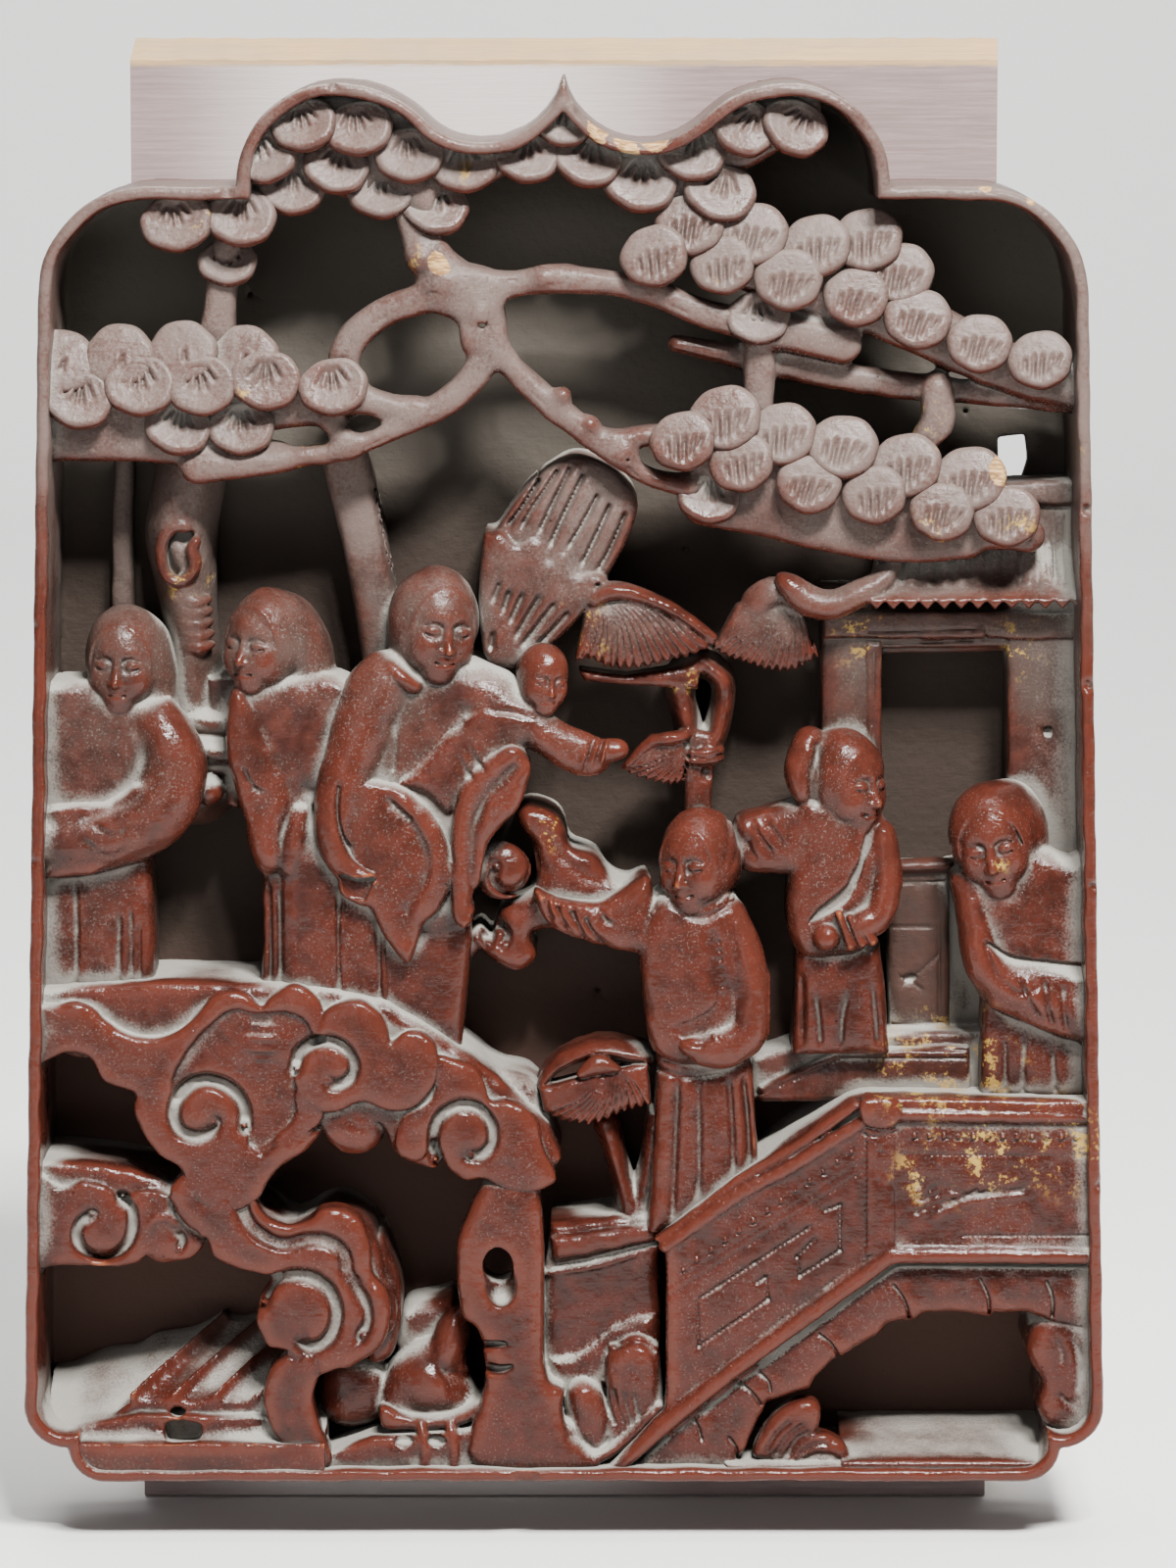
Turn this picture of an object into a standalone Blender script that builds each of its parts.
"""A carved and lacquered wood relief panel on its back board.

The frame: +X to the viewer's right, +Z up, and the carving faces -Y. The origin lies on the flat
back of the board, which meets the wall, on the panel's centre line.

The carving is drawn in millimetres on the plane of the rim, as an eye standing in front and a
little above the panel sees it: u to the right, v up. set_back() carries a drawn point along the
line of sight to the depth of its form, so that forms at many depths keep their drawn places.
"""

import math

import bmesh
import bpy
from mathutils import Matrix, Vector

MM = 0.001

# The carved block.
PANEL_HEIGHT = 419.0
PANEL_WIDTH_TOP = 304.0
PANEL_WIDTH_FOOT = 320.0
BLOCK_DEPTH = 56.0
RIM_WIDTH = 4.0
GROUND_THICKNESS = 8.0
PANEL_DROP = 3.5

# The plank behind it. Its top edge is sawn on a slope, higher at the back.
BOARD_WIDTH = 257.0
BOARD_HEIGHT = 436.0
BOARD_THICKNESS = 24.0
BOARD_CENTRE = -13.0
BOARD_TOP_SLOPE = 6.0
BOARD_SIDE_SLOPE = 1.5
JOINT_GAP = 0.3

# The rim's round stretches.
CREST_VALLEY_RADIUS = 23.4
CREST_LOBE_X = 65.0
CREST_LOBE_RADIUS = 29.5
CREST_SHOULDER_RADIUS = 35.5
CREST_DROP = 6.2
SIDE_LOBE_RADIUS = 32.0
SIDE_LOBE_DROP = 36.0
FOOT_OUTER_RADIUS = 12.8
FOOT_INNER_RADIUS = 10.6
FOOT_STEP = 23.0
RIM_ARC_STEP = math.radians(20)

# The panel that the carving was drawn for. Another size stretches the drawing.
DRAWN_WIDTH = 304.0
DRAWN_HEIGHT = 419.0
DRAWN_NICHE = 48.0
EYE_RIGHT = 7.0
EYE_HEIGHT = 247.0
EYE_DISTANCE = 1782.0

# Depths of the carving's layers behind the plane of the rim.
CLOUD_DEPTH = 2.5
BRIDGE_DEPTH = 4.0
LEAF_DEPTH = 4.5
BRANCH_DEPTH = 9.0
TREE_DEPTH = 24.0
HOUSE_DEPTH = 24.0

# How thick those layers are, and how far a form is sunk into what carries it.
CLOUD_THICKNESS = 12.0
LEAF_THICKNESS = 4.0
BRANCH_THICKNESS = 11.0
PAD_THICKNESS = 13.0
RAIL_THICKNESS = 9.0
ROOTING = 2.0
GROOVE_DEPTH = 1.6
GROOVE_WIDTH = 2.2
SCROLL_CLOSING = 0.86
SCROLL_STEPS = 11
ROOF_TILE_LIFT = 2.2
ROOF_TILES = 10
TILE_TILT = 0.6
ARCH_CENTRE = (118, -196)
ARCH_RADIUS = 40.0
JOINT_REACH = 0.14
STUDS = 7
STUD_RADIUS = 2.2
STUD_LENGTH = 6.0
STUD_SIDES = 3

LEAF_RADIUS = 9.6
LEAF_SIDES = 8
LEAF_LEAN = math.radians(20)
DISC_SIDES = 10
DISC_TAPER = 0.88
LIMB_SIDES = 6
TORSO_POINTS = 7
TORSO_ROOT_SHARE = 0.3
FLUTE_SHARE = 0.13
SMALL_BALL_SIDES = 6
HEAD_SIDES = 8
HEAD_WIDTH_SHARE = 0.8

# A stray skin holding less than this, in cubic metres, is no form of its own.
SMALLEST_FORM = 1e-9
SAME_POINT = 1e-6
ON_CENTRE_LINE = 1e-6
FLAT_ANGLE = math.radians(1)
KEPT_SHARE = 0.84

LACQUER = (0.11, 0.028, 0.02)
BOARD_LACQUER = (0.10, 0.045, 0.045)

NICHE_DEPTH = BLOCK_DEPTH - GROUND_THICKNESS
RIM_Y = -(BOARD_THICKNESS + JOINT_GAP + BLOCK_DEPTH)
WIDTH_STRETCH = PANEL_WIDTH_TOP / DRAWN_WIDTH
HEIGHT_STRETCH = PANEL_HEIGHT / DRAWN_HEIGHT
DEPTH_STRETCH = NICHE_DEPTH / DRAWN_NICHE
TO_GROUND = DRAWN_NICHE + ROOTING


def clear_scene():
    for obj in list(bpy.data.objects):
        bpy.data.objects.remove(obj, do_unlink=True)


def collection_named(name):
    collection = bpy.data.collections.new(name)
    bpy.context.scene.collection.children.link(collection)
    return collection


def material(name, colour, roughness):
    made = bpy.data.materials.new(name)
    made.use_nodes = True
    shader = made.node_tree.nodes["Principled BSDF"]
    shader.inputs["Base Color"].default_value = (*colour, 1.0)
    shader.inputs["Roughness"].default_value = roughness
    shader.inputs["Metallic"].default_value = 0.0
    return made


def hide_tool(obj):
    obj.hide_render = True
    obj.display_type = 'WIRE'


class Workshop:
    """Collects the forms that are joined to the block, and the tools that cut it."""

    def __init__(self):
        self.forms = collection_named("carving_forms")
        self.cutters = collection_named("carving_cutters")
        self.tools = collection_named("waste_cutters")

    def add(self, name, mesh, cuts=False):
        obj = bpy.data.objects.new(name, mesh)
        (self.cutters if cuts else self.forms).objects.link(obj)
        hide_tool(obj)
        return obj


def set_back(u, v, depth):
    """The place, in the drawing's millimetres, where a drawn point lies at this depth."""
    share = depth / EYE_DISTANCE
    return u + (u - EYE_RIGHT) * share, v + (v - EYE_HEIGHT) * share


def to_panel(x, depth, z):
    """From the drawing's millimetres to metres in the panel's own frame."""
    return Vector((x * WIDTH_STRETCH, RIM_Y + depth * DEPTH_STRETCH, z * HEIGHT_STRETCH)) * MM


def mesh_from(name, bm):
    bmesh.ops.recalc_face_normals(bm, faces=bm.faces)
    if bm.calc_volume(signed=True) < 0:
        bmesh.ops.reverse_faces(bm, faces=bm.faces)
    mesh = bpy.data.meshes.new(name)
    bm.to_mesh(mesh)
    bm.free()
    return mesh


def loft(name, rings):
    """A closed skin through rings of points, with a flat cap on each end."""
    bm = bmesh.new()
    loops = [[bm.verts.new(point) for point in ring] for ring in rings]
    count = len(loops[0])
    for low, high in zip(loops, loops[1:]):
        for i in range(count):
            j = (i + 1) % count
            bm.faces.new((low[i], low[j], high[j], high[i]))
    bm.faces.new(loops[0])
    bm.faces.new(loops[-1])
    return mesh_from(name, bm)


def slab(shop, name, outline, depth, thickness, cuts=False, shrink=0.0):
    """A flat form cut to a drawn outline. The front can be drawn in a little, for sloped edges."""
    points = [set_back(u, v, depth) for u, v in outline]
    middle_x = sum(x for x, z in points) / len(points)
    middle_z = sum(z for x, z in points) / len(points)
    front = [to_panel(middle_x + (x - middle_x) * (1 - shrink), depth,
                      middle_z + (z - middle_z) * (1 - shrink)) for x, z in points]
    back = [to_panel(x, depth + thickness, z) for x, z in points]
    return shop.add(name, loft(name, [front, back]), cuts)


def path_sides(points, widths):
    """The two edges of a band that follows a drawn path."""
    left, right = [], []
    for i, (u, v) in enumerate(points):
        before = points[max(i - 1, 0)]
        after = points[min(i + 1, len(points) - 1)]
        along = Vector((after[0] - before[0], after[1] - before[1])).normalized()
        half = widths[min(i, len(widths) - 1)] / 2
        left.append((u - along.y * half, v + along.x * half))
        right.append((u + along.y * half, v - along.x * half))
    return left, right


def band(shop, name, points, widths, depth, thickness, cuts=False):
    """A flat band along a drawn path: a branch, a rail, a groove or a stretch of cloud."""
    left, right = path_sides(points, widths)
    return slab(shop, name, left + right[::-1], depth, thickness, cuts)


def path_across(path, i):
    """The drawn direction that lies across a path at one of its points."""
    before = path[max(i - 1, 0)]
    after = path[min(i + 1, len(path) - 1)]
    along = Vector((after[0] - before[0], after[1] - before[1])).normalized()
    return -along.y, along.x


def limb(shop, name, path, sides=LIMB_SIDES):
    """A round form along a drawn path of (u, v, front depth, width, thickness)."""
    rings = []
    for i, (u, v, depth, width, thickness) in enumerate(path):
        across = path_across(path, i)
        x, z = set_back(u, v, depth + thickness / 2)
        ring = []
        for k in range(sides):
            angle = math.tau * (k + 0.5) / sides
            side = math.cos(angle) * width / 2
            inward = thickness / 2 * (1 - math.sin(angle))
            ring.append(to_panel(x + across[0] * side, depth + inward, z + across[1] * side))
        rings.append(ring)
    return shop.add(name, loft(name, rings))


def torso(shop, name, path, fluted=False):
    """A rounded front along a drawn path of (u, v, front depth, width, thickness).

    Behind, it narrows to a root in the ground of the niche. Flutes draw in every second point,
    as the folds of a skirt do.
    """
    rings = []
    for u, v, depth, width, thickness in path:
        x, z = set_back(u, v, depth + thickness / 2)
        ring = []
        for k in range(TORSO_POINTS):
            angle = math.pi * k / (TORSO_POINTS - 1)
            reach = 1.0 - (FLUTE_SHARE if fluted and k % 2 else 0.0)
            ring.append(to_panel(x + math.cos(angle) * width / 2 * reach,
                                 depth + thickness / 2 * (1 - math.sin(angle) * reach), z))
        for side in (-1, 1):
            ring.append(to_panel(x + side * width * TORSO_ROOT_SHARE, TO_GROUND, z))
        rings.append(ring)
    return shop.add(name, loft(name, rings))


def ball(shop, name, u, v, depth, width, height, thickness, turn=0.0, sides=SMALL_BALL_SIDES):
    """An egg-shaped form whose front stands at the given depth."""
    x, z = set_back(u, v, depth + thickness / 2)
    bm = bmesh.new()
    bmesh.ops.create_uvsphere(bm, u_segments=sides, v_segments=sides - 2, radius=1.0)
    lean = Matrix.Rotation(turn, 3, 'Y')
    for vert in bm.verts:
        local = lean @ Vector((vert.co.x * width / 2, vert.co.y * thickness / 2,
                               vert.co.z * height / 2))
        vert.co = to_panel(x + local.x, depth + thickness / 2 + local.y, z + local.z)
    return shop.add(name, mesh_from(name, bm))


def disc(shop, name, u, v, depth, radius, thickness, sides=DISC_SIDES, lean=0.0, cuts=False):
    """A round plate. A lean brings its lower edge forward, as a leaf of the pine has it."""
    x, z = set_back(u, v, depth)
    bm = bmesh.new()
    bmesh.ops.create_cone(bm, cap_ends=True, segments=sides, radius1=radius,
                          radius2=radius * DISC_TAPER, depth=thickness)
    tip = Matrix.Rotation(math.radians(90) - lean, 3, 'X')
    for vert in bm.verts:
        local = tip @ vert.co
        vert.co = to_panel(x + local.x, depth + thickness / 2 + local.y, z + local.z)
    return shop.add(name, mesh_from(name, bm), cuts)


def arc(centre, radius, start, end, step=RIM_ARC_STEP):
    """Points on a round stretch, from one angle to another, both ends included."""
    count = max(1, round(abs(end - start) / step))
    angles = [start + (end - start) * i / count for i in range(count + 1)]
    return [(centre[0] + radius * math.cos(a), centre[1] + radius * math.sin(a)) for a in angles]


def rim_outline(inset):
    """The panel's outline, drawn in from its edge by the given width, in real millimetres."""
    top = PANEL_HEIGHT / 2 - PANEL_DROP
    foot = top - PANEL_HEIGHT
    half_top = PANEL_WIDTH_TOP / 2
    half_foot = PANEL_WIDTH_FOOT / 2
    right = math.radians(90)
    valley = (CREST_VALLEY_RADIUS, top)
    lobe_top = top - CREST_DROP
    shoulder = (CREST_LOBE_X, lobe_top - CREST_SHOULDER_RADIUS)
    lobe = (CREST_LOBE_X, lobe_top - CREST_LOBE_RADIUS)
    shelf = top - SIDE_LOBE_DROP
    turn = math.atan2(shoulder[1] - valley[1], shoulder[0] - valley[0])

    valley_radius = CREST_VALLEY_RADIUS + inset
    start = math.acos(-CREST_VALLEY_RADIUS / valley_radius)
    half = arc(valley, valley_radius, math.tau - start, math.tau + turn)
    half += arc(shoulder, CREST_SHOULDER_RADIUS - inset, turn + math.pi, right)[1:]
    lobe_radius = CREST_LOBE_RADIUS - inset
    end = math.asin((shelf - inset - lobe[1]) / lobe_radius)
    half += arc(lobe, lobe_radius, right, end)[1:]
    corner = (half_top - SIDE_LOBE_RADIUS, shelf - SIDE_LOBE_RADIUS)
    half += arc(corner, SIDE_LOBE_RADIUS - inset, right, 0.0)

    outer = (half_foot - FOOT_OUTER_RADIUS, foot + FOOT_STEP)
    inner = (outer[0] - FOOT_INNER_RADIUS, foot + FOOT_INNER_RADIUS)
    outer_radius = FOOT_OUTER_RADIUS - inset
    meets = math.acos(-inset / outer_radius)
    half += arc(outer, outer_radius, 0.0, -meets)
    half += arc(inner, FOOT_INNER_RADIUS - inset, 0.0, -right)

    left = [(-x, z) for x, z in reversed(half) if x > ON_CENTRE_LINE]
    return half + left


def flat_curve(name, outline, front, back):
    """A flat curve, filled and given thickness, then made a mesh in the panel's frame."""
    curve = bpy.data.curves.new(name, 'CURVE')
    curve.dimensions = '2D'
    curve.fill_mode = 'BOTH'
    curve.extrude = (back - front) / 2 * MM
    spline = curve.splines.new('POLY')
    spline.points.add(len(outline) - 1)
    for point, (x, z) in zip(spline.points, outline):
        point.co = (x * MM, z * MM, 0.0, 1.0)
    spline.use_cyclic_u = True
    holder = bpy.data.objects.new(name, curve)
    bpy.context.scene.collection.objects.link(holder)
    holder.rotation_euler = (math.radians(90), 0.0, 0.0)
    holder.location = (0.0, (front + back) / 2 * MM, 0.0)
    bpy.context.view_layer.update()
    evaluated = holder.evaluated_get(bpy.context.evaluated_depsgraph_get())
    mesh = bpy.data.meshes.new_from_object(evaluated)
    bm = bmesh.new()
    bm.from_mesh(mesh)
    bmesh.ops.remove_doubles(bm, verts=bm.verts, dist=SAME_POINT)
    bm.transform(holder.matrix_world)
    bmesh.ops.recalc_face_normals(bm, faces=bm.faces)
    bm.to_mesh(mesh)
    bm.free()
    bpy.data.objects.remove(holder, do_unlink=True)
    return mesh


def leaf_row(shop, name, places, depth):
    for number, (u, v) in enumerate(places):
        disc(shop, f"{name}_{number}", u, v, depth + 0.37 * (number % 3), LEAF_RADIUS,
             LEAF_THICKNESS, LEAF_SIDES, LEAF_LEAN)


def carve_foliage(shop):
    """Scale-like pine leaves in five clusters, on pads that reach the walls."""
    front = LEAF_DEPTH
    back = LEAF_DEPTH + 3.0
    leaf_row(shop, "left_leaf", ((-141.5, 108.5), (-123, 112), (-104.5, 112), (-86.5, 113.5),
                                 (-67, 112)), front)
    leaf_row(shop, "left_leaf_up", ((-145, 122), (-130, 123.5), (-112, 125), (-95, 122)), back)
    leaf_row(shop, "left_leaf_low", ((-111.5, 98), (-93.5, 98)), back)
    leaf_row(shop, "crest_leaf", ((-77.5, 168.5), (-53.5, 168.5), (-38, 163), (-11, 178.5),
                                  (7, 177), (21, 171), (45, 167)), front)
    leaf_row(shop, "crest_leaf_up", ((-86, 179), (-64.5, 175), (-46, 179), (-28, 175.5), (0, 187.5),
                                     (32.5, 181)), back)
    leaf_row(shop, "crest_leaf_top", ((-74.5, 188), (51, 188)), back + 2)
    leaf_row(shop, "lobe_leaf", ((-111, 159), (-93, 160), (-97.5, 147.5), (68, 187)), back + 5)
    leaf_row(shop, "right_leaf", ((26.5, 149.5), (46, 147.5), (65, 144), (84.5, 138), (102.5, 132),
                                  (120, 125), (138, 120)), front)
    leaf_row(shop, "right_leaf_up", ((37, 160), (54.5, 157.5), (72, 153.5), (88, 157),
                                     (97, 146)), back)
    leaf_row(shop, "right_leaf_low", ((56, 132.5),), back)
    leaf_row(shop, "lower_leaf", ((34.5, 96.5), (52, 90), (71, 84), (90, 81), (109.5, 76),
                                  (128.5, 74.5)), front)
    leaf_row(shop, "lower_leaf_up", ((46, 103.5), (63, 99), (81, 96), (99.5, 91),
                                     (118, 86.5)), back)
    leaf_row(shop, "lower_leaf_low", ((42.5, 81),), back)

    band(shop, "left_pad", ((-158, 108), (-110, 112), (-62, 109)), (26, 24, 10), BRANCH_DEPTH,
         PAD_THICKNESS)
    band(shop, "crest_pad_left", ((-104, 170), (-84, 176), (-62, 178), (-35, 172), (-12, 184),
                                  (4, 196)), (26, 30, 26, 20, 20, 10), BRANCH_DEPTH, PAD_THICKNESS)
    band(shop, "crest_pad_right", ((-4, 196), (10, 183), (30, 178), (50, 180), (64, 194)),
         (12, 16, 18, 20, 20), BRANCH_DEPTH, PAD_THICKNESS)
    band(shop, "crest_pad_low", ((34, 180), (44, 168), (50, 152)), (16, 14, 14), BRANCH_DEPTH,
         PAD_THICKNESS)
    band(shop, "lobe_pad", ((-122, 172), (-108, 160), (-94, 156)), (14, 16, 12), BRANCH_DEPTH + 3,
         PAD_THICKNESS)
    band(shop, "lobe_stub", ((-97, 160), (-98, 146), (-102, 128), (-106, 114)), (12, 10, 8, 12),
         BRANCH_DEPTH + 3, PAD_THICKNESS)
    band(shop, "right_pad", ((28, 152), (60, 146), (100, 134), (158, 116)), (12, 20, 20, 14),
         BRANCH_DEPTH, PAD_THICKNESS)
    band(shop, "lower_pad", ((32, 94), (70, 88), (110, 80), (150, 72)), (14, 20, 20, 14),
         BRANCH_DEPTH, PAD_THICKNESS)
    band(shop, "sky_stub", ((55, 124), (55, 96)), (9, 9), BRANCH_DEPTH, PAD_THICKNESS)
    band(shop, "gilt_stub", ((105, 118), (104, 84)), (10, 9), BRANCH_DEPTH, PAD_THICKNESS)


def carve_branches(shop):
    """The trunk's knotted boughs, a flat open network in front of the dark niche."""
    runs = {
        "bough_up": (((-38, 168), (-38, 150), (-27, 138)), (14, 11, 14)),
        "bough_ring": (((-24, 138), (-46, 135), (-60, 127), (-65, 114), (-60, 101), (-46, 95)),
                       (10, 9, 9, 8, 8, 8)),
        "bough_left": (((-22, 136), (-25, 118), (-36, 102), (-54, 95), (-84, 90), (-112, 91),
                        (-158, 96)), (12, 10, 8, 8, 9, 12, 16)),
        "bough_right": (((-28, 139), (-4, 142), (20, 138), (41, 129), (62, 123), (100, 117),
                         (158, 112)), (13, 8, 9, 9, 9, 9, 10)),
        "bough_low": (((-25, 134), (-12, 117), (-4, 108), (8, 98), (19, 90), (36, 82), (60, 75),
                       (84, 69), (112, 66), (158, 62)), (13, 8, 8, 9, 10, 10, 8, 8, 8, 8)),
    }
    for name, (points, widths) in runs.items():
        band(shop, name, points, widths, BRANCH_DEPTH, BRANCH_THICKNESS)
    ball(shop, "knot_upper", -42, 150, BRANCH_DEPTH - 4, 13, 11, 14)
    ball(shop, "knot_hub", -29, 138, BRANCH_DEPTH - 3, 15, 15, 16)


def fan_outline(root, spread, reach, start, end, scallops, depth_of_scallop):
    """A fan-shaped leaf: two straight sides from its root, and a scalloped outer edge."""
    points = [(root[0] + spread, root[1]), (root[0] - spread, root[1])]
    for i in range(scallops * 2 + 1):
        angle = start + (end - start) * i / (scallops * 2)
        length = reach - (depth_of_scallop if i % 2 == 0 else 0.0)
        points.append((root[0] + length * math.cos(angle), root[1] + length * math.sin(angle)))
    return points


def carve_trees(shop):
    """Trunks, posts, palms and the great leaf, all standing out of the ground of the niche."""
    deep = TO_GROUND
    limb(shop, "trunk", ((-107, 100, TREE_DEPTH, 20, 30), (-105, 62, TREE_DEPTH, 17, 30),
                         (-101, 30, TREE_DEPTH, 18, 30), (-99, -4, TREE_DEPTH, 20, 30)))
    band(shop, "left_post", ((-126, 96), (-125, 24)), (8, 8), deep - 12, 12)
    band(shop, "leaning_post", ((-66, 96), (-57, 66), (-46, 30)), (14, 12, 14), TREE_DEPTH + 4,
         deep - TREE_DEPTH - 4)
    leaf = ((-10, 40), (-20, 52), (-23, 64), (-17, 76), (-8, 86), (0, 90.5), (14, 88), (20.5, 84),
            (20, 66), (16, 52), (8, 40))
    slab(shop, "great_leaf", leaf, 16.0, deep - 16.0, shrink=0.08)
    for i in range(3):
        top = -4.0 + 8.0 * i
        band(shop, f"great_leaf_rib_{i}", ((top, 86 - i * 0.8), (top * 0.75 - 1, 68)), (2.6, 1.4),
             14.2, 6)

    for name, root, start, end, depth in (("palm_left", (22, 57), 198, 318, 15.0),
                                          ("palm_right", (58, 56), 222, 338, 19.0)):
        outline = fan_outline(root, 4.0, 24.0, math.radians(start), math.radians(end), 6, 1.8)
        slab(shop, name, outline, depth, 12.0, shrink=0.12)
    limb(shop, "palm_trunk", ((41, 52, 20, 10, 30), (40, 20, 22, 9, 28), (40, -30, 22, 8, 28)))
    band(shop, "palm_fork", ((30, 34), (39, 14)), (5, 4), 21, deep - 21)
    band(shop, "palm_fork_right", ((52, 34), (42, 14)), (5, 4), 21.4, deep - 21.4)
    fan = fan_outline((39, 2), 2.0, 21.0, math.radians(150), math.radians(200), 4, 1.5)
    slab(shop, "small_fan", fan, 18.0, 8.0)

    crown = fan_outline((11, -82), 7.0, 18.0, math.radians(190), math.radians(350), 6, 1.6)
    slab(shop, "low_palm", crown, 10.0, 16.0, shrink=0.15)
    limb(shop, "low_palm_trunk", ((14, -92, 18, 12, 34), (18, -115, 20, 9, 32),
                                  (22, -136, 20, 12, 32)))


def carve_pavilion(shop):
    """A tiled roof on posts, its dark doorway and the balustrade before it."""
    deep = TO_GROUND
    wall = 158.0
    left = 89.0
    ridge = (87.0, 36.0)
    eave = (46.5, 14.0)

    eave_ring, ridge_ring = [], []
    for i in range(ROOF_TILES * 2 + 1):
        u = left + (wall - left) * i / (ROOF_TILES * 2)
        lift = ROOF_TILE_LIFT if i % 2 else 0.0
        for ring, (v, depth) in ((eave_ring, eave), (ridge_ring, ridge)):
            x, z = set_back(u, v - lift * TILE_TILT, depth - lift)
            ring.append(to_panel(x, depth - lift, z))
    for ring, (v, depth) in ((eave_ring, eave), (ridge_ring, ridge)):
        for u in (wall, left):
            x, z = set_back(u, v, depth)
            ring.append(to_panel(x, depth + 10, z - 5))
    shop.add("roof", loft("roof", [eave_ring, ridge_ring]))
    band(shop, "roof_ridge", ((124, 85), (wall, 86)), (9, 9), 24.5, deep - 24.5)
    band(shop, "roof_horn", ((62, 57.5), (67, 53), (74, 50), (84, 49.5), (96, 50)),
         (2.5, 7, 8, 7, 6), 14.0, 12.0)
    band(shop, "eave_beam", ((76, 45), (wall, 44)), (6, 6), HOUSE_DEPTH - 4, deep - HOUSE_DEPTH + 4)
    band(shop, "lintel", ((78, 38.5), (wall, 38)), (5, 5), HOUSE_DEPTH + 3, deep - HOUSE_DEPTH - 3)
    band(shop, "post_left", ((83.5, 46), (83.5, -64)), (12, 12), HOUSE_DEPTH, deep - HOUSE_DEPTH)
    band(shop, "post_right", ((139, 46), (138.5, -64)), (16, 16), HOUSE_DEPTH - 1,
         deep - HOUSE_DEPTH + 1)
    band(shop, "balustrade", ((104, -28), (104, -84)), (28, 28), 34.0, deep - 34.0)
    band(shop, "balustrade_cap", ((88, -28), (124, -28)), (4, 4), 31.5, deep - 31.5)
    band(shop, "side_wall", ((150, -26), (150, -70)), (16, 16), 30.0, deep - 30.0)


def figure_head(shop, name, u, v, depth, height, turn=0.0, tip=0.0):
    """A hood of hair round a smooth oval face, with a plain nose."""
    width = height * HEAD_WIDTH_SHARE
    ball(shop, f"{name}_hair", u - turn * 2.0, v + height * 0.05, depth + 2.5, width * 1.06,
         height * 1.06, height * 0.92, tip, HEAD_SIDES)
    ball(shop, f"{name}_face", u + turn * 1.4, v - height * 0.04, depth, width * 0.80,
         height * 0.92, height * 0.8, tip)
    nose_u = u + turn * 2.6
    limb(shop, f"{name}_nose", ((nose_u, v + height * 0.10, depth + 0.6, 1.2, 4),
                                (nose_u, v - height * 0.12, depth - 1.6, 4.0, 6)), 4)


def carve_left_couple(shop):
    """The two attendants on the left, one with arms folded and one half turned away."""
    figure_head(shop, "attendant", -127.5, 32, 9, 31, -0.3)
    torso(shop, "attendant_coat", ((-128, 24, 16, 14, 20), (-128, 14, 11, 34, 26),
                                  (-128, 0, 9, 40, 30), (-130, -16, 9, 38, 30),
                                  (-134, -29, 11, 30, 28)))
    limb(shop, "attendant_arm", ((-113, 8, 9, 13, 22), (-114, -8, 6, 14, 18),
                                 (-130, -20, 6, 14, 16), (-152, -16, 8, 14, 18)))
    torso(shop, "attendant_skirt", ((-136, -24, 15, 28, 24), (-136, -50, 14, 30, 26),
                                   (-136, -80, 13, 34, 28)), fluted=True)

    figure_head(shop, "companion", -83, 39, 8, 31, -0.9)
    torso(shop, "companion_coat", ((-82, 30, 15, 14, 20), (-80, 20, 10, 34, 26),
                               (-80, 4, 9, 36, 28), (-78, -14, 11, 26, 26)))
    torso(shop, "companion_skirt", ((-76, -8, 12, 26, 26), (-71, -36, 11, 34, 28),
                                (-68, -80, 9, 44, 32)), fluted=True)
    limb(shop, "companion_sleeve", ((-72, 0, 9, 12, 14), (-82, -14, 9, 12, 14),
                                 (-87, -32, 11, 7, 12)))
    limb(shop, "bracket", ((-110, 4, 20, 10, 30), (-96, 6, 20, 10, 30)), 6)
    ball(shop, "bracket_knob", -103.5, -5, 15, 10, 10, 12)


def carve_carrier_and_child(shop):
    """The largest figure, with looping sleeves, holding a child who reaches to the right."""
    figure_head(shop, "carrier", -37, 43.5, 4.5, 33, 0.4)
    torso(shop, "carrier_coat", ((-40, 32, 12, 14, 22), (-41, 24, 8, 34, 28), (-42, 8, 6, 48, 32),
                               (-46, -14, 7, 44, 32), (-46, -34, 9, 36, 30),
                               (-44, -80, 10, 40, 32)))
    limb(shop, "carrier_shoulder", ((-25, 24, 10, 14, 20), (-12, 20, 10, 14, 20),
                                   (-2, 8, 10, 12, 18)))
    loop = arc((-51, -20), 17.0, math.radians(112), math.radians(-75), math.radians(31))
    limb(shop, "carrier_sleeve_roll", [(u, v, 4.2, 5.5, 8.0) for u, v in loop])
    sleeve = ((-66, -4), (-50, -3.5), (-37, -12), (-32, -24), (-34, -39), (-47.5, -57.5),
              (-54, -45), (-66, -36), (-62, -28), (-58, -30), (-64, -20))
    slab(shop, "carrier_sleeve", sleeve, 6.2, 14.0)
    limb(shop, "carrier_cuff", ((-31, -43, 6, 9, 12), (-24, -24, 4, 11, 12), (-17, -4, 4.6, 10, 12),
                               (-13, 6, 7, 8, 12)))

    figure_head(shop, "child", -6.3, 28, 5, 20.5, 0.5)
    limb(shop, "child_body", ((-8, 18, 8, 16, 16), (-20, 10, 6, 18, 16), (-33, -2, 6, 18, 16),
                              (-46, -14, 8, 14, 14)))
    limb(shop, "child_arm", ((-10, 14, 8, 12, 14), (4, 9, 7, 9, 10), (17, 5.5, 8, 6, 8)))


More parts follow.
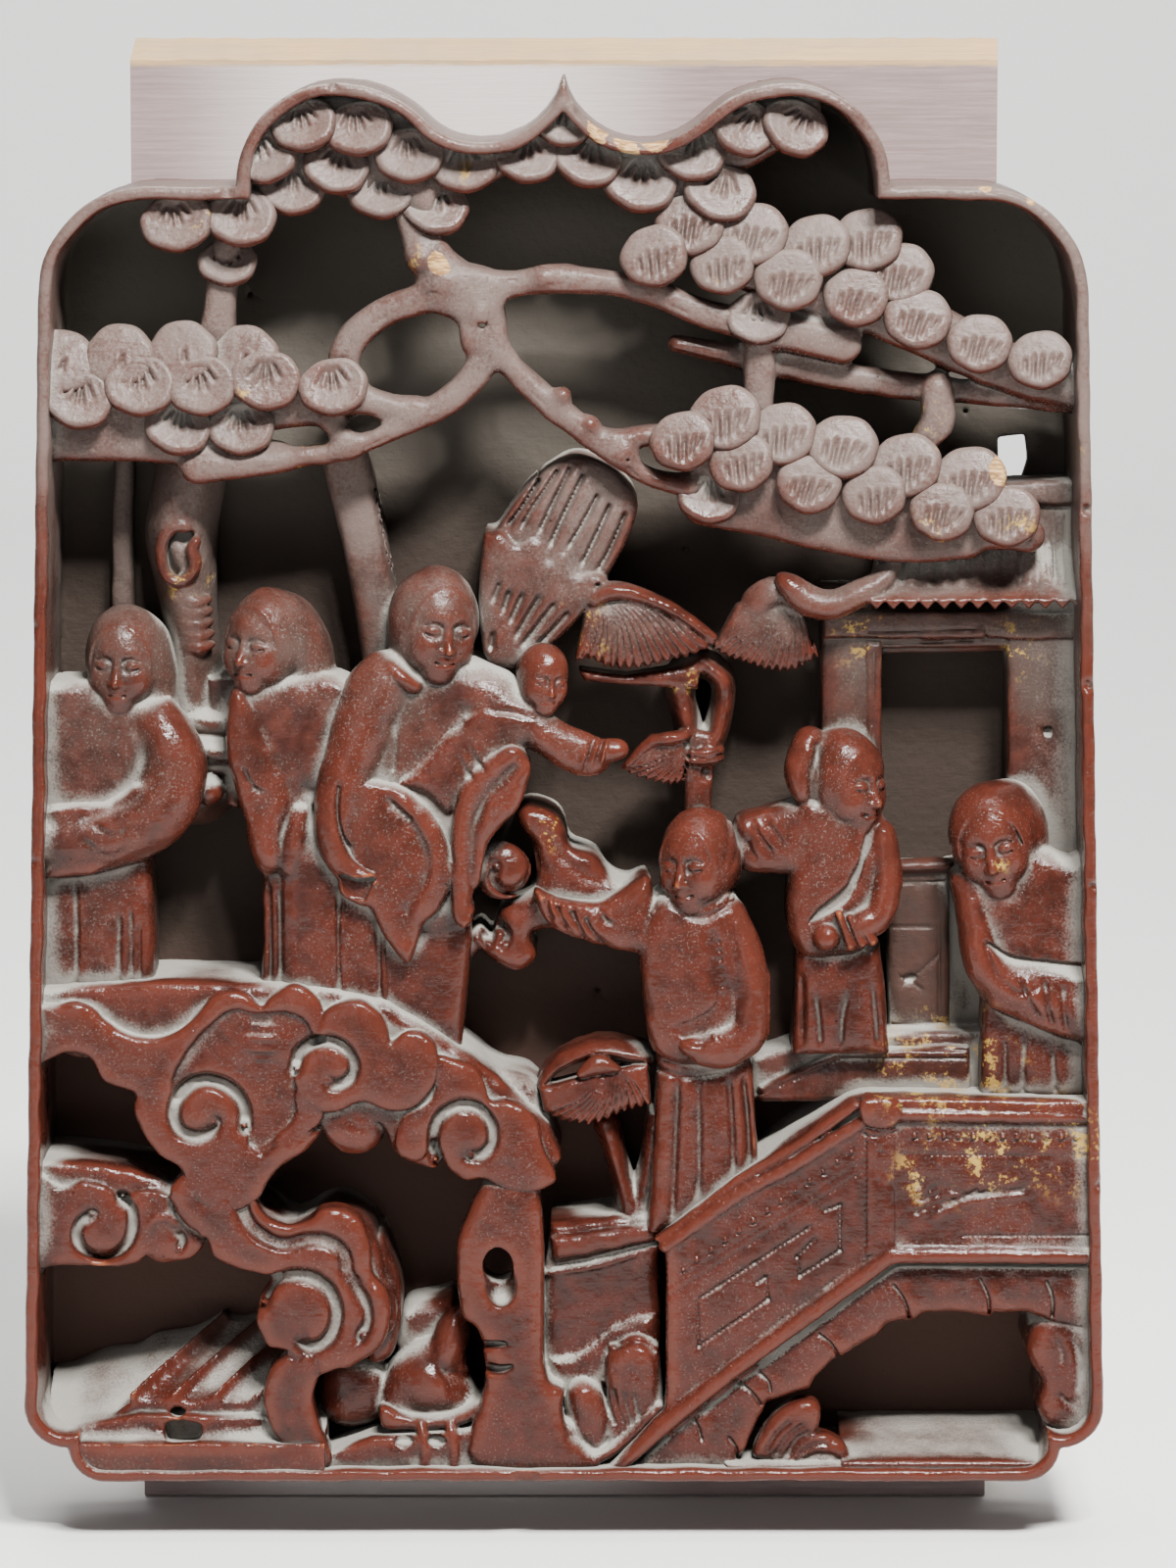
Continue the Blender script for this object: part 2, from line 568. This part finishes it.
def carve_greeter(shop):
    """The tall figure on the slope, with one arm stretched to the left."""
    figure_head(shop, "greeter", 39, -26, 3.5, 32, -0.4)
    torso(shop, "greeter_coat", ((38, -38, 10, 13, 20), (38, -43, 6, 30, 26), (38, -56, 4.5, 33, 30),
                               (40, -70, 4, 37, 32), (41, -83, 5, 34, 30)))
    limb(shop, "greeter_reach", ((28, -45, 7, 13, 16), (12, -47, 7, 12, 14), (-8, -38, 8, 17, 9)))
    limb(shop, "greeter_arm", ((53, -48, 6, 11, 18), (57, -64, 5, 12, 18), (50, -77, 3.2, 11, 14),
                              (40, -81, 2.8, 7, 10)))
    torso(shop, "greeter_skirt", ((41, -80, 9, 27, 24), (41, -100, 7, 29, 26),
                                (41, -138, 5.5, 30, 28)), fluted=True)


def carve_youth(shop):
    """The young figure by the doorway, with tufts of hair and one arm back."""
    figure_head(shop, "youth", 80, 1, 8, 32, 0.8, -0.12)
    ball(shop, "youth_tuft_left", 68, 6, 13, 8, 15, 12)
    ball(shop, "youth_tuft_top", 81, 14, 9, 12, 8, 14)
    torso(shop, "youth_coat", ((81, -12, 16, 13, 16), (82, -18, 12, 24, 22), (81, -34, 10, 27, 26),
                            (80, -50, 10, 27, 26), (79, -58, 12, 22, 24)))
    limb(shop, "youth_reach", ((72, -19, 13, 11, 14), (60, -20, 13, 12, 14), (47, -12, 15, 7, 14)))
    limb(shop, "youth_arm", ((92, -22, 12, 9, 16), (95, -36, 10, 10, 16), (86, -44, 7, 10, 12),
                           (76, -49, 7, 11, 10)))
    torso(shop, "youth_skirt", ((82, -52, 15, 24, 22), (82, -68, 14, 25, 24),
                             (82, -88, 13, 27, 26)), fluted=True)


def carve_guest(shop):
    """The seated figure at the right wall, with a sleeve laid across."""
    figure_head(shop, "guest", 126, -20, 6.5, 34, -0.2)
    torso(shop, "guest_coat", ((128, -33, 15, 14, 18), (130, -39, 11, 32, 24),
                              (134, -54, 9, 42, 30), (138, -68, 10, 40, 30),
                              (138, -80, 14, 30, 26)))
    limb(shop, "guest_arm", ((117, -44, 10, 11, 18), (121, -60, 7, 13, 16), (134, -70, 6, 14, 16),
                             (157, -71, 8, 13, 18)))
    torso(shop, "guest_skirt", ((138, -72, 15, 30, 24), (138, -86, 14, 31, 26),
                               (138, -106, 13, 33, 28)), fluted=True)


def spiral(centre, radius, turns, start, way, steps):
    """Points of a scroll that winds in to its centre."""
    points = []
    for i in range(steps + 1):
        share = i / steps
        angle = start + way * share * turns * math.tau
        reach = radius * (1 - SCROLL_CLOSING * share)
        points.append((centre[0] + reach * math.cos(angle), centre[1] + reach * math.sin(angle)))
    return points


def scroll_groove(shop, name, centre, radius, turns, start, way):
    points = spiral(centre, radius, turns, math.radians(start), way, SCROLL_STEPS)
    band(shop, name, points, (GROOVE_WIDTH,), CLOUD_DEPTH - 2.0, 2.0 + GROOVE_DEPTH + 1.4, True)


def carve_clouds(shop):
    """Curling clouds and the shelf that they carry."""
    lobes = (
        (-147, -74, 9), (-108, -103, 16), (-121, -96, 8), (-97, -76, 12), (-82, -74, 11),
        (-67, -91, 16), (-54, -83, 11), (-46, -95, 11), (-58, -106, 8), (-27, -108, 15),
        (-40, -104, 9), (-10, -114, 8), (-31, -122, 8), (-17, -121, 8), (-89, -127, 15),
        (-80, -142, 14), (-76, -161, 15), (-62, -163, 10), (-72, -174, 9),
    )
    for number, (u, v, radius) in enumerate(lobes):
        disc(shop, f"cloud_lobe_{number}", u, v, CLOUD_DEPTH, radius, CLOUD_THICKNESS)
    bands = {
        "cloud_sweep": (((-158, -72), (-140, -78), (-120, -84), (-104, -80), (-90, -72)),
                        (14, 14, 18, 22, 18)),
        "cloud_bridge": (((-100, -84), (-80, -96), (-60, -96), (-40, -102), (-20, -108)),
                         (20, 24, 22, 18, 16)),
        "cloud_stem": (((-96, -88), (-93, -112), (-88, -132), (-80, -150), (-76, -170),
                        (-76, -200), (-78, -209)), (22, 20, 20, 18, 16, 16, 22)),
        "cloud_curl": (((-88, -132), (-74, -137), (-62, -134), (-55, -140), (-54, -154),
                        (-58, -168)), (10, 8, 8, 8, 7, 8)),
        "cloud_left": (((-158, -124), (-144, -122), (-130, -128), (-114, -136), (-96, -136)),
                       (10, 9, 10, 12, 10)),
    }
    for name, (points, widths) in bands.items():
        band(shop, name, points, widths, CLOUD_DEPTH, CLOUD_THICKNESS)
    disc(shop, "left_scroll", -135.5, -133.5, CLOUD_DEPTH + 1.5, 12.5, CLOUD_THICKNESS)
    ball(shop, "left_bump", -118, -134, CLOUD_DEPTH + 2, 20, 18, 16)

    scroll_groove(shop, "groove_scroll_left", (-106.5, -101), 10.0, 1.25, 100, 1)
    scroll_groove(shop, "groove_scroll_mid", (-66, -92), 10.0, 1.25, 250, -1)
    scroll_groove(shop, "groove_scroll_right", (-27, -108), 9.0, 1.25, 200, -1)
    scroll_groove(shop, "groove_scroll_low", (-76, -161), 9.0, 1.25, 80, 1)
    scroll_groove(shop, "groove_scroll_wall", (-135.5, -133.5), 8.0, 1.1, 190, -1)

    slab(shop, "upper_shelf", ((-158, -76), (-56, -78), (-36, -96), (-12, -108), (-12, -120),
                               (-50, -112), (-100, -92), (-158, -88)), 8.0, TO_GROUND - 8.0)
    slab(shop, "lower_shelf", ((-90, -132), (-56, -133), (-50, -146), (-54, -168), (-66, -166),
                               (-70, -146), (-92, -142)), 9.0, TO_GROUND - 9.0)
    band(shop, "wall_shelf", ((-158, -130), (-124, -134), (-100, -136)), (9, 9, 9), 9.0,
         TO_GROUND - 9.0)


def pierce_ground(shop):
    """The small breach in the ground above the roof, at the plank's right edge."""
    breach = ((126.5, 97), (134.5, 97.5), (134, 86), (128, 85.5))
    slab(shop, "ground_breach", breach, DRAWN_NICHE - ROOTING, GROUND_THICKNESS + 2 * ROOTING,
         cuts=True)


def carve_ground_forms(shop):
    """What stands along the foot: the pierced stone, birds, the hut, the wall and its ledge."""
    deep = TO_GROUND
    stone = ((-26.5, -209), (-25, -180), (-25, -158), (-30.5, -142), (-28, -133), (-20, -125.5),
             (-4, -127.5), (-5.5, -145), (-6, -160), (-3, -185), (0.5, -209))
    slab(shop, "stone", stone, 3.0, 15.0, shrink=0.05)
    hole = [(u * 0.62 - 18.7, v - 148.0) for u, v in arc((0, 0), 7.0, 0.0, math.tau * 0.9,
                                                       math.radians(36))]
    slab(shop, "stone_hole", hole, 0.0, 26.0, cuts=True)
    for i in range(2):
        band(shop, f"stone_step_{i}", ((-30, -168 - 7 * i), (-22, -168 - 7 * i)), (1.6,), 1.0,
             12.0, True)
    slab(shop, "wall_block", ((-8, -132), (34, -132), (34, -209), (22, -209), (22, -158),
                              (-2, -158), (-2, -175), (-8, -175)), 16.0, deep - 16.0)
    slab(shop, "wall_foot", ((-2, -178), (34, -178), (34, -209), (-2, -209)), 18.0, deep - 18.0)
    ball(shop, "bird_wing", 20, -178, 8, 24, 32, 22, 0.15)
    ball(shop, "bird_breast", 7, -193, 9, 18, 26, 20, 0.3)
    band(shop, "bird_back", ((16, -180), (14, -208)), (20, 24), 18, deep - 18)

    ball(shop, "crane_body", -39, -181, 10, 26, 24, 20, -0.3)
    ball(shop, "crane_neck", -44, -163, 10, 12, 22, 14, 0.25)
    for i, u in enumerate((-44, -33)):
        limb(shop, f"crane_leg_{i}", ((u, -190, 14, 4, 5), (u, -211, 13, 4, 5)), 5)
    band(shop, "crane_back", ((-39, -172), (-40, -208)), (16, 20), 22, deep - 22)

    roof = ((-105, -160), (-80, -168), (-84, -190), (-134, -191))
    slab(shop, "hut_roof", roof, 16.0, deep - 16.0, shrink=0.25)
    for i in range(3):
        start = -99 + 7.5 * i
        limb(shop, f"hut_ridge_{i}", ((start, -164 - 1.5 * i, 25, 4, 12),
                                      (start - 21, -190, 13, 6, 14)), 6)
    slab(shop, "hut_wall", ((-132, -188), (-86, -188), (-84, -209), (-134, -209)), 12.0,
         deep - 12.0)
    slab(shop, "hut_window", ((-117, -194), (-109, -194), (-109, -200.5), (-117, -200.5)), 8.0,
         16.0, cuts=True)
    slab(shop, "floor_stone", ((-134, -204), (-84, -204), (-70, -198), (-62, -203), (-40, -206),
                               (-40, -211), (-134, -211)), 5.0, 12.0)

    flower = ((-34, -51), (-22, -46), (-14, -60), (-7, -50), (-8, -40), (4, -34), (8, -27),
              (0, -22), (-8, -12), (-20, -20), (-26, -36))
    slab(shop, "hanging_cloud", flower, 16.0, deep - 16.0)
    disc(shop, "hanging_scroll", -15.5, -29, 12.5, 10.0, 12.0)


def carve_bridge(shop):
    """The sloped parapet with its panels, the arch below it and the rail behind."""
    deep = TO_GROUND
    front = BRIDGE_DEPTH
    mass = [(14, -209), (34, -152), (62, -130), (92, -106), (158, -106), (158, -152)]
    mass += arc(ARCH_CENTRE, ARCH_RADIUS, math.radians(62), math.radians(160), math.radians(16))
    mass += [(76, -209)]
    slab(shop, "bridge_mass", mass, front + RAIL_THICKNESS - 1.5, deep - front - RAIL_THICKNESS
         + 1.5)
    parapet = ((30.5, -139.5), (89, -98.5), (158, -98.5), (158, -143), (98, -143), (30.5, -193),
               (13, -209))
    slab(shop, "parapet", parapet, front, RAIL_THICKNESS)
    slope_top = ((29, -141), (89, -100))
    level_top = ((86, -100.5), (158, -100.5))
    slope_foot = ((13, -206), (97, -144))
    level_foot = ((94, -143.5), (158, -143.5))
    for number, (name, run, width) in enumerate((
            ("rail_slope", slope_top, 4.5), ("rail_level", level_top, 4.5),
            ("foot_slope", slope_foot, 7.5), ("foot_level", level_foot, 7.0))):
        band(shop, name, run, (width,), front - 1.7 + 0.21 * number, 8.0)
    band(shop, "rail_post", ((92, -99), (92, -143)), (8.5,), front - 1.2, 8.0)
    disc(shop, "rail_post_cap", 91.5, -102, front - 2.4, 6.0, 8.0, 10)

    for i in range(STUDS):
        share = (i + 0.6) / (STUDS + 0.4)
        u = 30.5 + 56 * share
        v = -148.5 + 39.5 * share
        disc(shop, f"slope_stud_{i}", u, v, front - 1.1, STUD_RADIUS, STUD_LENGTH, STUD_SIDES)
    for i in range(STUDS):
        disc(shop, f"level_stud_{i}", 106 + 7.0 * i, -110.5, front - 1.0, STUD_RADIUS,
             STUD_LENGTH, STUD_SIDES)
    panel = ((42, -150), (82, -122), (82, -138), (42, -168))
    sides = list(zip(panel, panel[1:] + panel[:1]))
    for i, (a, b) in enumerate(sides):
        band(shop, f"panel_groove_{i}", (a, b), (1.6,), front - 3, 4.4, True)
    band(shop, "level_groove", ((101, -115.5), (158, -115.5)), (1.5,), front - 3, 4.4, True)

    ring = arc(ARCH_CENTRE, ARCH_RADIUS + 3.2, math.radians(158), math.radians(58),
               math.radians(12))
    band(shop, "arch_ring", ring, (11.0, 12.4), front + 2.1, 11.3)
    for i, (u, v) in enumerate(ring[1:-1]):
        out = (u - ARCH_CENTRE[0], v - ARCH_CENTRE[1])
        near = (ARCH_CENTRE[0] + out[0] * (1 - JOINT_REACH),
                ARCH_CENTRE[1] + out[1] * (1 - JOINT_REACH))
        far = (ARCH_CENTRE[0] + out[0] * (1 + JOINT_REACH),
               ARCH_CENTRE[1] + out[1] * (1 + JOINT_REACH))
        band(shop, f"arch_joint_{i}", (near, far), (1.4,), front, 3.4, True)

    ball(shop, "bank_rock", 149, -181, 7, 20, 34, 26)
    ball(shop, "bank_rock_low", 150, -198, 7, 20, 16, 26)
    for i, (u, v, lean) in enumerate(((60, -199, 0.9), (70, -192, 0.25), (80, -199, -0.7))):
        ball(shop, f"bank_leaf_{i}", u, v, 6.5 + i, 13, 22, 12, lean)
    slab(shop, "bank", ((44, -202), (84, -204), (86, -211), (40, -211)), 8.0, deep - 8.0)

    slab(shop, "rear_rail", ((56, -108), (84, -84), (158, -84), (158, -100), (88, -100),
                             (58, -120)), 26.0, deep - 26.0)
    band(shop, "rear_rail_cap", ((56, -104), (84, -82.5), (116, -82.5)), (4,), 23.5, 12.0)


def carve(shop):
    carve_foliage(shop)
    carve_branches(shop)
    carve_trees(shop)
    carve_pavilion(shop)
    carve_left_couple(shop)
    carve_carrier_and_child(shop)
    carve_greeter(shop)
    carve_youth(shop)
    carve_guest(shop)
    carve_clouds(shop)
    carve_ground_forms(shop)
    carve_bridge(shop)
    pierce_ground(shop)


def join(target, kind, operand):
    """A Boolean with one object, or with everything in a collection."""
    step = target.modifiers.new(kind.lower(), 'BOOLEAN')
    step.operation = kind
    step.solver = 'MANIFOLD'
    if isinstance(operand, bpy.types.Collection):
        step.operand_type = 'COLLECTION'
        step.collection = operand
    else:
        step.object = operand


def shells(bm):
    """The separate closed skins of a mesh, each as a list of its faces."""
    left = set(bm.faces)
    found = []
    while left:
        skin, waiting = [], [left.pop()]
        while waiting:
            face = waiting.pop()
            skin.append(face)
            for edge in face.edges:
                for other in edge.link_faces:
                    if other in left:
                        left.remove(other)
                        waiting.append(other)
        found.append(skin)
    return found


def skin_volume(faces):
    """Six times the volume inside a skin: positive where its faces point out of it."""
    total = 0.0
    for face in faces:
        first = face.verts[0].co
        for one, two in zip(face.verts[1:], face.verts[2:]):
            total += first.dot(one.co.cross(two.co))
    return total


def make_waste(shop):
    """The wood that the carver takes out of the niche, as one body.

    Pockets closed in on every side can't be reached by a chisel, so they stay in the wood.
    """
    hollow = flat_curve("waste", rim_outline(RIM_WIDTH), RIM_Y - ROOTING, RIM_Y + NICHE_DEPTH)
    waste = bpy.data.objects.new("waste", hollow)
    shop.tools.objects.link(waste)
    hide_tool(waste)
    join(waste, 'DIFFERENCE', shop.forms)
    join(waste, 'UNION', shop.cutters)
    bpy.context.view_layer.update()
    evaluated = waste.evaluated_get(bpy.context.evaluated_depsgraph_get())
    carved = bpy.data.meshes.new_from_object(evaluated)
    waste.modifiers.clear()
    bm = bmesh.new()
    bm.from_mesh(carved)
    skins = sorted(shells(bm), key=skin_volume)
    for skin in skins[:-1]:
        if skin_volume(skin) > -SMALLEST_FORM:
            bmesh.ops.delete(bm, geom=skin, context='FACES')
    bm.to_mesh(carved)
    bm.free()
    waste.data = carved
    return waste


def thin_out(panel):
    """Take out points that lie on flat or nearly flat stretches and shape nothing."""
    flat = panel.modifiers.new("flat stretches", 'DECIMATE')
    flat.decimate_type = 'DISSOLVE'
    flat.angle_limit = FLAT_ANGLE
    panel.modifiers.new("triangles", 'TRIANGULATE')
    spare = panel.modifiers.new("spare points", 'DECIMATE')
    spare.decimate_type = 'COLLAPSE'
    spare.ratio = KEPT_SHARE


def make_panel(parts, shop):
    """One solid block with the waste taken out, so that all of the carving is left standing."""
    mesh = flat_curve("carved_panel", rim_outline(0.0), RIM_Y, RIM_Y + BLOCK_DEPTH)
    panel = bpy.data.objects.new("carved_panel", mesh)
    parts.objects.link(panel)
    carve(shop)
    join(panel, 'DIFFERENCE', make_waste(shop))
    thin_out(panel)
    panel.data.materials.append(material("lacquered_wood", LACQUER, 0.32))
    return panel


def make_board(parts):
    """The plank: a box whose top and right edges were sawn a little aslant."""
    half = BOARD_WIDTH / 2
    foot = BOARD_CENTRE - BOARD_HEIGHT / 2
    head = BOARD_CENTRE + BOARD_HEIGHT / 2
    bm = bmesh.new()
    bmesh.ops.create_cube(bm, size=1.0)
    for vert in bm.verts:
        back = vert.co.y > 0
        x = half if vert.co.x > 0 else -half
        z = head if vert.co.z > 0 else foot
        if back and vert.co.z > 0:
            z += BOARD_TOP_SLOPE
        if back and vert.co.x > 0:
            x += BOARD_SIDE_SLOPE
        vert.co = (x * MM, 0.0 if back else -BOARD_THICKNESS * MM, z * MM)
    board = bpy.data.objects.new("back_board", mesh_from("back_board", bm))
    parts.objects.link(board)
    board.data.materials.append(material("board_wood", BOARD_LACQUER, 0.55))
    return board


def main():
    clear_scene()
    parts = collection_named("carved_relief_panel")
    shop = Workshop()
    make_board(parts)
    make_panel(parts, shop)


main()
